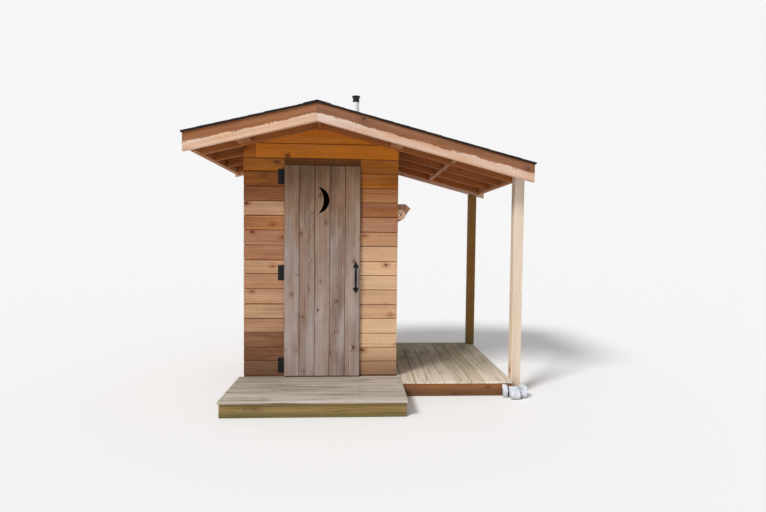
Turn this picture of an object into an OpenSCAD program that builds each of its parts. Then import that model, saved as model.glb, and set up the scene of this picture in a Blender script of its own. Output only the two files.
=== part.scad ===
// Wooden outhouse with a side porch, built as separate sub-parts, in millimetres.
// X runs along the front wall, +Y goes in through the door, +Z is up, ground at Z = 0.

/* [Room] */
// Outside width of the room across the front siding
room_w = 1416; // [1240:4:1700]
// Outside depth of the room
room_d = 1180; // [1040:4:1500]
// Height of the wall corners above the top of the door
wall_over_door = 168; // [120:2:300]
// Height of the lower edge of the siding
siding_low = 60; // [20:2:80]
// Thickness of the siding boards
siding_t = 18; // [14:1:22]
// Depth of the wall studs
stud_d = 89; // [64:1:100]
// Thickness of studs, rafters and other framing
frame_t = 38; // [32:1:45]

/* [Floor] */
// Height of the skids under the floor
skid_h = 89; // [80:1:100]
// Thickness of the floor boards
floor_t = 22; // [18:1:28]

/* [Roof] */
// Pitch of the right roof slope, over the porch, in degrees
roof_pitch = 14.4; // [10:0.1:18]
// Pitch of the left roof slope in degrees
left_pitch = 13.7; // [10:0.1:18]
// How far the ridge stands left of the wall centre
ridge_shift = 12; // [0:1:40]
// Depth of the rafters
rafter_d = 120; // [100:1:140]
// Depth of the rafter pair on the face of the front wall
gable_rafter_d = 132; // [100:1:150]
// Depth of the barge boards
barge_d = 140; // [130:1:160]
// Roof reach past the left wall
eave_left = 427; // [300:1:500]
// Roof reach past the right wall, over the porch
eave_right = 1163; // [1000:1:1400]
// Roof reach in front of the front wall
over_front = 326; // [240:1:400]
// Roof reach behind the back wall
over_back = 160; // [120:1:260]
// Thickness of the roof boarding
sheathing_t = 15; // [12:1:20]
// Thickness of the roofing
roofing_t = 12; // [8:1:16]

/* [Door] */
// Width of the door leaf
door_w = 698; // [620:1:760]
// Height of the door leaf
door_h = 1940; // [1800:1:1980]
// Thickness of the door boards
door_t = 25; // [20:1:30]
// How far the door centre stands right of the wall centre
door_shift = 11; // [-40:1:60]
// Height of the moon cut-out
moon_h = 244; // [180:1:280]

/* [Porch and step] */
// Width of the square posts
post_w = 89; // [80:1:100]
// Height of the deck and the step
deck_top = 136; // [120:1:160]
// Thickness of the deck boards
deck_t = 22; // [18:1:28]
// Number of full deck boards
deck_count = 8; // [7:1:10]
// Reach of the deck in front of the front wall
deck_front = 180; // [130:1:240]
// Width of the front step
step_w = 1500; // [1400:2:1560]
// Depth of the front step
step_d = 670; // [560:1:740]
// Thickness of the step boards
step_t = 28; // [22:1:34]

/* [Vent] */
// Outer diameter of the vent pipe
vent_d = 70; // [60:1:90]
// How far the vent stands above the ridge
vent_rise = 445; // [350:5:700]

/* [Hidden] */
$fn = 48;
eps = 0.01;
slope = tan(roof_pitch);
left_slope = tan(left_pitch);
ridge_x = -ridge_shift;
half_w = room_w / 2;
stretch = 1 / cos(roof_pitch);
seat = 0.05;
door_low = deck_top + 12;
door_top = door_low + door_h;
wall_top = door_top + wall_over_door;
ridge_low = wall_top + slope * half_w;
ridge_side = under(ridge_x + frame_t / 2);
rafter_v = rafter_d * stretch;
gable_rafter_v = gable_rafter_d * stretch;
barge_v = barge_d * stretch;
sheathing_v = sheathing_t * stretch;
roofing_v = roofing_t * stretch;
left_x = -half_w - eave_left;
right_x = half_w + eave_right;
front_y = -over_front;
back_y = room_d + over_back;
drip = 20;
side_drip = 12;
cap_t = 6;
cap_w = 120;
roofing_low = rafter_v + sheathing_v + 2 * seat;
cap_low = roofing_low + roofing_v + seat;
vent_top = ridge_low + cap_low + cap_t + vent_rise;
bay = (room_d + frame_t) / 3;
tail = 18;
beam_x = right_x - tail - 45 - frame_t;
eave_x = left_x + tail + frame_t;
mid_block_x = half_w + (beam_x - half_w) * 0.434;
floor_top = skid_h + frame_t + floor_t;
inner = siding_t + stud_d;

door_gap = 3;
door_left = door_shift - door_w / 2;
door_right = door_shift + door_w / 2;
lap = 18;
hole_left = door_left + lap;
hole_right = door_right - lap;
hole_top = door_top - lap;
jamb_t = 19;
hinge_x = door_left - 10;
hinge_y = -8;
hinge_h = 140;
hinge_w = 48;
hinge_low = 26;
hinge_drop = 172;
knuckle_r = 7;
pin_r = 3;
hinge_plate_t = 3;
hinge_zs = [door_low + hinge_low, door_low + door_h * 0.457, door_top - hinge_drop];
ledge_w = 90;
ledge_low = 180;
ledge_top = 160;
pull_reach = 100;
pull_d = 18;

deck_left = max(step_w / 2, half_w + 42);
board_pitch = (post_x() - deck_left - 2) / deck_count;
deck_gap = 4;
deck_back = back_y + 35;
vent_x = 300;
vent_y = room_d - inner - 13 - vent_d / 2;
vent_wall = 3;
vent_cap_h = 70;
holder_low = 1588;

centre_x = (left_x + right_x) / 2;
centre_y = (deck_back - step_d) / 2;

// Underside height of the rafters at a given X
function under(x) = ridge_low - (x < ridge_x ? left_slope : slope) * abs(x - ridge_x);

// Left face of the front post, and right edge of the deck
function post_x() = beam_x - 4;

module placed() {
    translate([-centre_x, -centre_y, 0])
        children();
}

module block(x1, x2, y1, y2, z1, z2) {
    translate([x1, y1, z1])
        cube([x2 - x1, y2 - y1, z2 - z1]);
}

module along_y(y1, y2) {
    translate([0, y2, 0])
        rotate([90, 0, 0])
            linear_extrude(height = y2 - y1)
                children();
}

// Strip between two X values that follows one roof slope, measured from the rafter underside
module strip(x1, x2, low, high) {
    polygon([[x1, under(x1) + low], [x2, under(x2) + low],
        [x2, under(x2) + high], [x1, under(x1) + high]]);
}

// Upright face from a level bottom to a height that follows the roof slope
module upright(x1, x2, low, high) {
    polygon([[x1, low], [x2, low], [x2, under(x2) + high], [x1, under(x1) + high]]);
}

module gable(low, high) {
    polygon([[-half_w, low], [half_w, low], [half_w, under(half_w) + high],
        [ridge_x, ridge_low + high], [-half_w, under(-half_w) + high]]);
}

module floor_skids() {
    color("sienna")
        for (x = [-half_w + 24, -half_w / 3 - skid_h / 2, half_w / 3 - skid_h / 2,
            half_w - 24 - skid_h])
            block(x, x + skid_h, siding_t + 4, room_d - siding_t - 4, 0, skid_h);
}

module floor_frame() {
    color("peru")
        for (i = [0 : 4])
            let (y = siding_t + i * (room_d - 2 * siding_t - stud_d) / 4)
                block(-half_w + siding_t, half_w - siding_t, y, y + stud_d, skid_h,
                    skid_h + frame_t);
}

module floor_boards() {
    color("burlywood")
        block(-half_w + siding_t, half_w - siding_t, siding_t, room_d - siding_t,
            skid_h + frame_t, floor_top);
}

// Room for the ridge board where it passes through a wall
module ridge_notch() {
    translate([ridge_x - frame_t / 2 - 1, ridge_side])
        square([frame_t + 2, rafter_v]);
}

module front_siding() {
    color("chocolate")
        along_y(0, siding_t)
            difference() {
                gable(siding_low, rafter_v * 0.6);
                ridge_notch();
                translate([hole_left, floor_top])
                    square([hole_right - hole_left, hole_top - floor_top]);
            }
}

module back_siding() {
    color("chocolate")
        along_y(room_d - siding_t, room_d)
            difference() {
                gable(siding_low, rafter_v * 0.6);
                ridge_notch();
            }
}

module side_siding(side) {
    along_y(siding_t, room_d - siding_t)
        upright(side * half_w, side * (half_w - siding_t), siding_low, 0);
}

module left_siding() {
    color("chocolate")
        side_siding(-1);
}

module right_siding() {
    color("chocolate")
        side_siding(1);
}

module side_studs(side) {
    count = 5;
    reach = room_d - 2 * siding_t - frame_t;
    for (i = [0 : count - 1])
        let (y = siding_t + i * reach / (count - 1))
            along_y(y, y + frame_t)
                upright(side * (half_w - siding_t), side * (half_w - inner), floor_top, 0);
}

module left_studs() {
    color("burlywood")
        side_studs(-1);
}

module right_studs() {
    color("burlywood")
        side_studs(1);
}

module back_studs() {
    count = 5;
    reach = room_w - 2 * inner - frame_t;
    color("burlywood")
        for (i = [0 : count - 1])
            let (x = -half_w + inner + i * reach / (count - 1))
                along_y(room_d - inner, room_d - siding_t)
                    difference() {
                        upright(x, x + frame_t, floor_top, 0);
                        ridge_notch();
                    }
}

module front_frame() {
    color("burlywood") {
        along_y(siding_t, inner)
            upright(hole_left - jamb_t - frame_t, hole_left - jamb_t, floor_top, 0);
        along_y(siding_t, inner)
            upright(hole_right + jamb_t, hole_right + jamb_t + frame_t, floor_top, 0);
        block(hole_left - jamb_t - eps, hole_right + jamb_t + eps, siding_t, inner,
            hole_top + jamb_t, hole_top + jamb_t + stud_d);
    }
}

module door_lining() {
    color("tan")
        along_y(siding_t, inner)
            difference() {
                translate([hole_left - jamb_t, floor_top])
                    square([hole_right - hole_left + 2 * jamb_t,
                        hole_top + jamb_t - floor_top]);
                translate([hole_left, floor_top - 1])
                    square([hole_right - hole_left, hole_top - floor_top + 1]);
            }
}

module head_board() {
    color("saddlebrown")
        block(door_left, door_right, -6, 0, door_top + 6, door_top + wall_over_door * 0.4);
}

module rafter_pair(index, deep) {
    y = -frame_t + index * bay;
    low = rafter_v - deep;
    color("sienna")
        along_y(y, y + frame_t) {
            strip(eave_x, ridge_x - frame_t / 2, low, rafter_v);
            strip(ridge_x + frame_t / 2, beam_x, low, rafter_v);
        }
}

module rafter_pair_1() {
    rafter_pair(0, gable_rafter_v);
}

module rafter_pair_2() {
    rafter_pair(1, rafter_v);
}

module rafter_pair_3() {
    rafter_pair(2, rafter_v);
}

module rafter_pair_4() {
    rafter_pair(3, rafter_v);
}

module ridge_board() {
    color("sienna")
        along_y(front_y + frame_t, back_y - frame_t)
            translate([ridge_x, ridge_side])
                polygon([[-frame_t / 2, 0], [frame_t / 2, 0], [frame_t / 2, rafter_v],
                    [0, ridge_low + rafter_v - ridge_side], [-frame_t / 2, rafter_v]]);
}

module barge(y) {
    color("peru")
        along_y(y, y + frame_t) {
            strip(left_x, ridge_x, rafter_v - barge_v, rafter_v);
            strip(ridge_x, right_x, rafter_v - barge_v, rafter_v);
        }
}

module barge_front() {
    barge(front_y);
}

module barge_back() {
    barge(back_y - frame_t);
}

module lookouts() {
    lookout_w = 110;
    color("sienna")
        along_y(front_y + frame_t, -frame_t) {
            strip(-half_w - 20, -half_w - 20 + lookout_w, 0, rafter_v);
            strip(half_w - 80, half_w - 80 + lookout_w, 0, rafter_v);
            strip(mid_block_x + 12, mid_block_x + 12 + frame_t, 0, rafter_v);
        }
}

module porch_blocking() {
    x = mid_block_x;
    color("sienna")
        for (i = [0 : 2])
            along_y(i * bay, (i + 1) * bay - frame_t)
                strip(x, x + frame_t, 0, rafter_v);
}

module eave_board() {
    color("peru")
        along_y(front_y + frame_t, back_y - frame_t)
            strip(eave_x - frame_t, eave_x, 0, rafter_v);
}

module porch_beam() {
    color("sienna")
        along_y(-frame_t, back_y - frame_t)
            strip(beam_x, beam_x + frame_t, 0, rafter_v);
}

module vent_hole() {
    translate([vent_x, vent_y, 0])
        cylinder(d = vent_d + 6, h = vent_top);
}

module sheathing_left() {
    color("tan")
        along_y(front_y, back_y)
            strip(left_x, ridge_x, rafter_v + seat, rafter_v + seat + sheathing_v);
}

module sheathing_right() {
    color("tan")
        difference() {
            along_y(front_y, back_y)
                strip(ridge_x, right_x, rafter_v + seat, rafter_v + seat + sheathing_v);
            vent_hole();
        }
}

module roofing_left() {
    color("dimgray")
        along_y(front_y - drip, back_y + drip)
            strip(left_x - side_drip, ridge_x, roofing_low, roofing_low + roofing_v);
}

module roofing_right() {
    color("dimgray")
        difference() {
            along_y(front_y - drip, back_y + drip)
                strip(ridge_x, right_x + side_drip, roofing_low, roofing_low + roofing_v);
            vent_hole();
        }
}

module ridge_cap() {
    color("dimgray")
        along_y(front_y - drip, back_y + drip) {
            strip(ridge_x - cap_w, ridge_x, cap_low, cap_low + cap_t);
            strip(ridge_x, ridge_x + cap_w, cap_low, cap_low + cap_t);
        }
}

module post_front() {
    color("wheat")
        along_y(-frame_t - post_w, -frame_t)
            upright(post_x(), post_x() + post_w, 0, rafter_v);
}

module post_back() {
    x = post_x() - post_w + 10;
    color("sienna")
        along_y(deck_back - post_w, deck_back)
            upright(x, x + post_w, deck_top, rafter_v - barge_v);
}

module post_stones() {
    color("lightsteelblue") {
        translate([post_x() - 104, -deck_front - 56, 0])
            linear_extrude(height = 118)
                polygon([[0, 12], [22, 0], [48, 6], [52, 30], [46, 50], [10, 48]]);
        translate([post_x() - 48, -deck_front - 114, 0])
            linear_extrude(height = 96)
                polygon([[0, 20], [30, 0], [72, 4], [90, 34], [80, 84], [40, 98], [8, 78]]);
        translate([post_x() + 46, -deck_front - 82, 0])
            linear_extrude(height = 104)
                polygon([[4, 10], [36, 0], [66, 26], [70, 70], [44, 96], [12, 84], [0, 50]]);
    }
}

module deck_boards() {
    start = deck_left + 2;
    color("wheat") {
        for (i = [0 : deck_count - 1])
            block(start + i * board_pitch, start + (i + 1) * board_pitch - deck_gap,
                -deck_front, deck_back, deck_top - deck_t, deck_top);
        block(half_w + deck_gap, start - deck_gap, deck_gap, deck_back, deck_top - deck_t,
            deck_top);
    }
}

module deck_frame() {
    left = deck_left + 6;
    right = post_x() - 6;
    top = deck_top - deck_t;
    count = 5;
    reach = deck_back + deck_front - 16 - frame_t;
    color("peru") {
        for (i = [0 : count - 1])
            let (y = -deck_front + 8 + i * reach / (count - 1))
                block(y < 0 ? left : half_w + 6, right, y, y + frame_t, 0, top);
        block(left, left + frame_t, -deck_front + 8, deck_back - 8, 0, top);
        block(right - frame_t, right, -deck_front + 8, deck_back - 8, 0, top);
    }
}

module step_boards() {
    mid = -step_d * 0.52;
    color("darkgray") {
        block(-step_w / 2, step_w / 2, mid + 2, -1, deck_top - step_t, deck_top);
        block(-step_w / 2, step_w / 2, -step_d + step_t / 2, mid - 2, deck_top - step_t,
            deck_top);
        translate([-step_w / 2, -step_d + step_t / 2, deck_top - step_t / 2])
            rotate([0, 90, 0])
                cylinder(d = step_t, h = step_w);
    }
}

module step_frame() {
    top = deck_top - step_t;
    front = -step_d + 24;
    side = step_w / 2 - 6;
    color("darkkhaki") {
        block(-side, side, front, front + frame_t, 0, top);
        block(-side, side, -2 - frame_t, -2, 0, top);
        for (i = [0 : 4])
            let (x = -side + i * (2 * side - frame_t) / 4)
                block(x, x + frame_t, front, -2, 0, top);
    }
}

module vent_pipe() {
    color("whitesmoke")
        translate([vent_x, vent_y, floor_top])
            difference() {
                cylinder(d = vent_d, h = vent_top - vent_cap_h - floor_top);
                translate([0, 0, -1])
                    cylinder(d = vent_d - 2 * vent_wall, h = vent_top);
            }
}

module vent_cap() {
    color("black")
        translate([vent_x, vent_y, vent_top]) {
            translate([0, 0, -10])
                cylinder(d = vent_d + 20, h = 10);
            translate([0, 0, -vent_cap_h])
                cylinder(d = vent_d + 4, h = vent_cap_h - 5);
        }
}

// Side board of the roll holder, with a round boss on the outer one
module holder_arm(y, thick, bossed) {
    difference() {
        union() {
            along_y(y, y + thick)
                translate([half_w, holder_low])
                    polygon([[0, 0], [40, 14], [74, 49], [104, 97], [128, 127], [80, 169],
                        [0, 169]]);
            if (bossed)
                along_y(y - 6, y + 1)
                    intersection() {
                        translate([half_w + 30, holder_low + 67])
                            circle(r = 50);
                        translate([half_w, holder_low])
                            square([100, 140]);
                    }
        }
        along_y(y - 7, y + thick + 1)
            translate([half_w + 30, holder_low + 67])
                circle(d = 24);
    }
}

module roll_holder() {
    y = 90;
    width = 150;
    arm_t = 18;
    color("burlywood") {
        block(half_w, half_w + arm_t, y + 1, y + width - 1, holder_low + 12, holder_low + 157);
        holder_arm(y, arm_t, true);
        holder_arm(y + width - arm_t, arm_t, false);
        translate([half_w + 77, y + 2, holder_low + 100])
            rotate([-90, 0, 0])
                cylinder(d = 26, h = width - 4);
    }
}

// Crescent with its bulge to the right, its tips on the left
module moon() {
    reach = moon_h * 0.42;
    out_r = (moon_h * moon_h / 4 + reach * reach) / (2 * reach);
    bite = reach * 0.48;
    in_r = (moon_h * moon_h / 4 + bite * bite) / (2 * bite);
    difference() {
        translate([reach - out_r, 0])
            circle(r = out_r, $fn = 96);
        translate([bite - in_r, 0])
            circle(r = in_r, $fn = 96);
        translate([-2 * out_r - eps, -out_r])
            square([2 * out_r, 2 * out_r]);
    }
}

module door_boards() {
    color("rosybrown")
        along_y(-door_gap - door_t, -door_gap)
            difference() {
                translate([door_left, door_low])
                    square([door_w, door_h]);
                translate([door_left + door_w * 0.444, door_low + door_h * 0.838])
                    moon();
            }
}

module door_ledges() {
    color("rosybrown")
        for (z = [door_low + ledge_low, door_low + door_h * 0.44, door_top - ledge_top])
            block(hole_left + 12, hole_right - 12, -door_gap, 22, z, z + ledge_w);
}

module door_pull() {
    x = door_right - 39;
    z = door_low + door_h * 0.472;
    y = -door_gap - door_t;
    color("black") {
        along_y(y - 4, y) {
            translate([x, z + pull_reach + 12])
                polygon([[-22, -12], [0, 40], [22, -12], [9, -18], [9, -30], [-9, -30],
                    [-9, -18]]);
            translate([x, z - pull_reach - 12])
                polygon([[-22, 12], [-9, 18], [-9, 30], [9, 30], [9, 18], [22, 12],
                    [0, -40]]);
        }
        for (side = [-1, 1])
            translate([x, y, z + side * pull_reach])
                rotate([90, 0, 0])
                    cylinder(d = pull_d, h = 34);
        translate([x, y - 32, z - pull_reach - pull_d / 2])
            cylinder(d = pull_d, h = 2 * pull_reach + pull_d);
    }
}

module hinge_barrel(low, high) {
    translate([hinge_x, hinge_y, low])
        cylinder(r = knuckle_r, h = high - low);
}

module hinge_wall_leaves() {
    third = hinge_h / 3;
    color("black")
        for (z = hinge_zs) {
            difference() {
                union() {
                    block(hinge_x - hinge_w, hinge_x, -hinge_plate_t, 0, z, z + hinge_h);
                    hinge_barrel(z, z + third);
                    hinge_barrel(z + 2 * third, z + hinge_h);
                }
                hinge_barrel_space(z + third - 0.5, z + 2 * third + 0.5);
            }
            translate([hinge_x, hinge_y, z + third - 1])
                cylinder(r = pin_r, h = third + 2);
        }
}

module hinge_barrel_space(low, high) {
    translate([hinge_x, hinge_y, low])
        cylinder(r = knuckle_r + 1, h = high - low);
}

module hinge_door_leaves() {
    third = hinge_h / 3;
    color("black")
        for (z = hinge_zs)
            difference() {
                union() {
                    block(door_left - 2, door_left, -door_gap - door_t + 1, -door_gap - 1, z,
                        z + hinge_h);
                    block(hinge_x, door_left, hinge_y - 2, hinge_y + 2, z + third + 0.5,
                        z + 2 * third - 0.5);
                    hinge_barrel(z + third + 0.5, z + 2 * third - 0.5);
                }
                translate([hinge_x, hinge_y, z])
                    cylinder(r = pin_r + 0.4, h = hinge_h);
            }
}

placed() floor_skids();
placed() floor_frame();
placed() floor_boards();
placed() front_siding();
placed() left_siding();
placed() right_siding();
placed() back_siding();
placed() left_studs();
placed() right_studs();
placed() back_studs();
placed() front_frame();
placed() door_lining();
placed() head_board();
placed() rafter_pair_1();
placed() rafter_pair_2();
placed() rafter_pair_3();
placed() rafter_pair_4();
placed() ridge_board();
placed() barge_front();
placed() barge_back();
placed() lookouts();
placed() porch_blocking();
placed() eave_board();
placed() porch_beam();
placed() sheathing_left();
placed() sheathing_right();
placed() roofing_left();
placed() roofing_right();
placed() ridge_cap();
placed() post_front();
placed() post_back();
placed() post_stones();
placed() deck_boards();
placed() deck_frame();
placed() step_boards();
placed() step_frame();
placed() vent_pipe();
placed() vent_cap();
placed() roll_holder();
placed() door_boards();
placed() door_ledges();
placed() door_pull();
placed() hinge_wall_leaves();
placed() hinge_door_leaves();
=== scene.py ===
import math
import random

import bmesh
import bpy
from mathutils import Matrix, Vector


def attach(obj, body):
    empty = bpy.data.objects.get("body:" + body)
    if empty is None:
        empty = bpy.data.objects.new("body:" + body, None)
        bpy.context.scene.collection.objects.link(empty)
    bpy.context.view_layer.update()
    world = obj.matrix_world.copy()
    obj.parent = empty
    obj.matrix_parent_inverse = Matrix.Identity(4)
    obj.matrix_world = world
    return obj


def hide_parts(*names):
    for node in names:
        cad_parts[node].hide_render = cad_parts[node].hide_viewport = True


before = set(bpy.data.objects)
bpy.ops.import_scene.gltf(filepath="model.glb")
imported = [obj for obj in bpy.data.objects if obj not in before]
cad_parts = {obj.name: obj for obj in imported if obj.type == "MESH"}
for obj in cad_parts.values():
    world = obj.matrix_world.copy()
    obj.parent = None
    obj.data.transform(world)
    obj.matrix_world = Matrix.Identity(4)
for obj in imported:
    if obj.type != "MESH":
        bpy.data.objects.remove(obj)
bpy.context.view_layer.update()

dice = random.Random(11)
scene = bpy.context.scene

# Sizes are in millimetres from the foot of the front wall's middle, as a carpenter reads them
planMiddle = dict(x=368, y=352.5)  # the frame's origin stands here
room = dict(half=708, side=571, deep=1180, low=60, high=2155, doorway=(-320, 342), head=2070)
timber = dict(thick=38, left=-1079, right=1770, long=(-288, 1302), rows=(-38, 368, 774, 1180))
roof = dict(pitch=14.4, leftPitch=13.7, ridge=-12, corner=2256, rafter=120, gableRafter=132, barge=140,
            boarding=15, left=-1135, right=1871, front=-326, back=1340, drip=20, sideDrip=12, seat=0.1)
slope = math.tan(math.radians(roof["pitch"]))
leftSlope = math.tan(math.radians(roof["leftPitch"]))
stretch = 1 / math.cos(math.radians(roof["pitch"]))
rafterHigh = roof["rafter"] * stretch
boardingHigh = roof["boarding"] * stretch
feltLow = rafterHigh + boardingHigh + roof["seat"]
bargeLow = rafterHigh - roof["barge"] * stretch
ridgeX = roof["ridge"]
ridgeLow = roof["corner"] + slope * room["half"]


def at(x, y, z):
    return Vector(((x - planMiddle["x"]) / 1000, (y - planMiddle["y"]) / 1000, z / 1000))


def near(value, slack=4):
    return value + dice.uniform(-slack, slack)


def spanFrom(start, wide=timber["thick"]):
    return start, start + wide


def around(middle, half):
    return middle - half, middle + half


def slopeAt(x):
    return slope if x > ridgeX else leftSlope


def under(x):  # underside of the rafters
    return ridgeLow - slopeAt(x) * abs(x - ridgeX)


def only(*objs):
    bpy.ops.object.select_all(action="DESELECT")
    for obj in objs:
        obj.select_set(True)
    bpy.context.view_layer.objects.active = objs[0]


def settle(obj, name):  # place and turn go into the mesh
    only(obj)
    bpy.ops.object.transform_apply(location=True, rotation=True, scale=True)
    while obj.data.uv_layers:
        obj.data.uv_layers.remove(obj.data.uv_layers[0])
    obj.name = name
    return obj


def added(name, operator, **how):
    bpy.ops.object.select_all(action="DESELECT")
    operator(**how)
    return settle(bpy.context.object, name)


def edit(obj, pick=None, kind="FACE"):
    only(obj)
    bpy.ops.object.mode_set(mode="EDIT")
    bpy.ops.mesh.select_mode(type=kind)
    bpy.ops.mesh.select_all(action="DESELECT" if pick else "SELECT")
    if pick:
        work = bmesh.from_edit_mesh(obj.data)
        for item in {"FACE": work.faces, "EDGE": work.edges, "VERT": work.verts}[kind]:
            item.select_set(bool(pick(item)))
        work.select_flush_mode()
        bmesh.update_edit_mesh(obj.data)


def done():
    bpy.ops.object.mode_set(mode="OBJECT")


def edited(obj, operator, pick=None, kind="FACE", **how):  # one operator in edit mode, on what pick chooses
    edit(obj, pick, kind)
    operator(**how)
    done()
    return obj


def bevelled(obj, pick, size, steps=1):  # eases the edges that pick chooses
    return edited(obj, bpy.ops.mesh.bevel, pick, "EDGE", offset=size / 1000, segments=steps, affect="EDGES")


def lies(edge, **places):  # whether both ends of an edge are at these places along x, y or z, in metres
    return all(abs(getattr(v.co, axis) - place) < 1e-5 for v in edge.verts for axis, place in places.items())


def sameIn(edge, axis="z"):  # whether both ends are equally far along one axis
    return abs(getattr(edge.verts[0].co, axis) - getattr(edge.verts[1].co, axis)) < 1e-5


def box(name, x, y, z, ease=1.5, steps=1):
    low, high = at(x[0], y[0], z[0]), at(x[1], y[1], z[1])
    obj = added(name, bpy.ops.mesh.primitive_cube_add, size=1, location=(low + high) / 2, scale=high - low)
    return bevelled(obj, None, ease, steps) if ease else obj


def rod(name, start, end, radius, sides=24, ease=0.0):  # start and end in metres
    line = end - start
    axis = line.normalized()
    obj = added(name, bpy.ops.mesh.primitive_cylinder_add, vertices=sides, radius=radius / 1000,
                depth=line.length, location=(start + end) / 2,
                rotation=line.to_track_quat("Z", "Y").to_euler())
    if ease:
        bevelled(obj, lambda edge: any(abs(f.normal.dot(axis)) > 0.9 for f in edge.link_faces), ease, 2)
    return obj


def axle(name, x, z, y, radius, sides=28, ease=0.0):  # runs front to back
    return rod(name, at(x, y[0], z), at(x, y[1], z), radius, sides, ease)


def upright(name, place, low, high, radius, sides=48, ease=0.0):
    return rod(name, at(place["x"], place["y"], low), at(place["x"], place["y"], high), radius, sides, ease)


def slopedBoard(name, x, y, low, high, ease=1.5):  # follows one roof slope, its ends cut plumb
    obj = box(name, x, y, (under(x[0]) + low, under(x[0]) + high), ease)
    middle = (at(x[0], 0, 0).x + at(x[1], 0, 0).x) / 2
    rise = (0, 0, (under(x[1]) - under(x[0])) / 1000)
    return edited(obj, bpy.ops.transform.translate, lambda v: v.co.x > middle, "VERT", value=rise)


def sliced(obj, point, normal, **how):  # draws edges where the plane crosses the mesh
    edited(obj, bpy.ops.mesh.bisect, plane_co=point, plane_no=normal, **how)


def cut(obj, point, normal):  # takes off what lies on the normal's side
    sliced(obj, point, normal, use_fill=True, clear_outer=True)


def applied(obj, kind, **settings):  # one modifier, made and applied
    only(obj)
    step = obj.modifiers.new(kind, kind)
    for key, value in settings.items():
        setattr(step, key, value)
    bpy.ops.object.modifier_apply(modifier=step.name)


def carve(obj, tool):
    applied(obj, "BOOLEAN", object=tool, operation="DIFFERENCE", solver="EXACT")
    bpy.data.objects.remove(tool)


def toOrigin(obj):  # from the foot of the front wall's middle
    obj.data.transform(Matrix.Translation(-at(0, 0, 0)))
    return obj


def copyOf(master, matrix=Matrix.Identity(4)):
    obj = master.copy()
    obj.data = master.data.copy()
    obj.data.transform(matrix)
    bpy.context.collection.objects.link(obj)
    return obj


# Joins the parts to one named piece, which rides on a body and stands for its nodes
def finished(name, parts, material, slot, *nodes, body="building", smooth=0):
    only(*parts)
    if len(parts) > 1:
        bpy.ops.object.join()
    if smooth:
        bpy.ops.object.shade_smooth_by_angle(angle=math.radians(smooth))
    obj = bpy.context.object
    obj.name = obj.data.name = name
    obj.data.materials.clear()
    obj.data.materials.append(material)
    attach(obj, body)
    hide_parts(*nodes)


def flatPlate(name, outline, y, thick):  # outline in x and z from the wall's face, thick towards the back
    obj = added(name, bpy.ops.mesh.primitive_circle_add, vertices=len(outline), radius=0.02, fill_type="NGON")
    for v, (x, z) in zip(obj.data.vertices, outline):
        v.co = at(x, y, z)
    edited(obj, bpy.ops.mesh.extrude_region_move, TRANSFORM_OT_translate={"value": (0, thick / 1000, 0)})
    return edited(obj, bpy.ops.mesh.normals_make_consistent, inside=False)


def eased(obj, y, size, steps=1):  # rounds the outline of the face at y
    return bevelled(obj, lambda e: lies(e, y=at(0, y, 0).y), size, steps)


def through(obj, x, z, radius, y):  # a round hole along y
    carve(obj, axle("bore", x, z, y, radius))


def tinted(obj, *shade):  # its lightness, redness, own random figure and amber; on barges and door planks the last part is the height that places the painted roof shadow
    tint = obj.data.color_attributes.new("tint", "FLOAT_COLOR", "POINT")
    tint.data.foreach_set("color", shade * len(obj.data.vertices))
    return obj


def shadesOf(obj):  # each point of the mesh with its shade
    return zip(obj.data.vertices, obj.data.color_attributes["tint"].data)


# Lays the wood's length along u and its width along v, and gives the board its own shade
def grained(obj, along, face, tone=0.5, red=0.4, amber=0.0):
    along, face = Vector(along).normalized(), Vector(face).normalized()
    across = face.cross(along)
    mesh = obj.data
    uv = mesh.uv_layers.new(name="grain").data
    push = dice.uniform(0, 30), dice.uniform(0, 30)
    for polygon in mesh.polygons:
        n = polygon.normal
        if abs(n.dot(along)) > 0.8:
            a, b, size = across, face, 12
        elif abs(n.dot(face)) > 0.6:
            a, b, size = along, across, 1
        else:
            a, b, size = along, face, 1
        for i in polygon.loop_indices:
            p = mesh.vertices[mesh.loops[i].vertex_index].co
            uv[i].uv = p.dot(a) * size + push[0], p.dot(b) + push[1]
    return tinted(obj, tone, red, dice.random(), amber)


def dirtyJoints(obj, face):  # darkens all that lies below the board's face: dirt and painted shade in the joints
    outer = max(v.co.dot(face) for v in obj.data.vertices)
    for v, shade in shadesOf(obj):
        if v.co.dot(face) < outer - 0.001:
            shade.color[0] -= 0.55
    return obj


rightward, inward, upward = Vector((1, 0, 0)), Vector((0, 1, 0)), Vector((0, 0, 1))


def downhill(x):
    return Vector((math.copysign(1, x - ridgeX), 0, -slopeAt(x))).normalized()


def skyward(x):  # square to the roof slope, outwards
    return Vector((math.copysign(slopeAt(x), x - ridgeX), 0, 1)).normalized()


def colour(code):  # a six-figure screen colour as Blender's linear values
    parts = [int(code[i:i + 2], 16) / 255 for i in (0, 2, 4)]
    return (*[p / 12.92 if p <= 0.04045 else ((p + 0.055) / 1.055) ** 2.4 for p in parts], 1)


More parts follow.
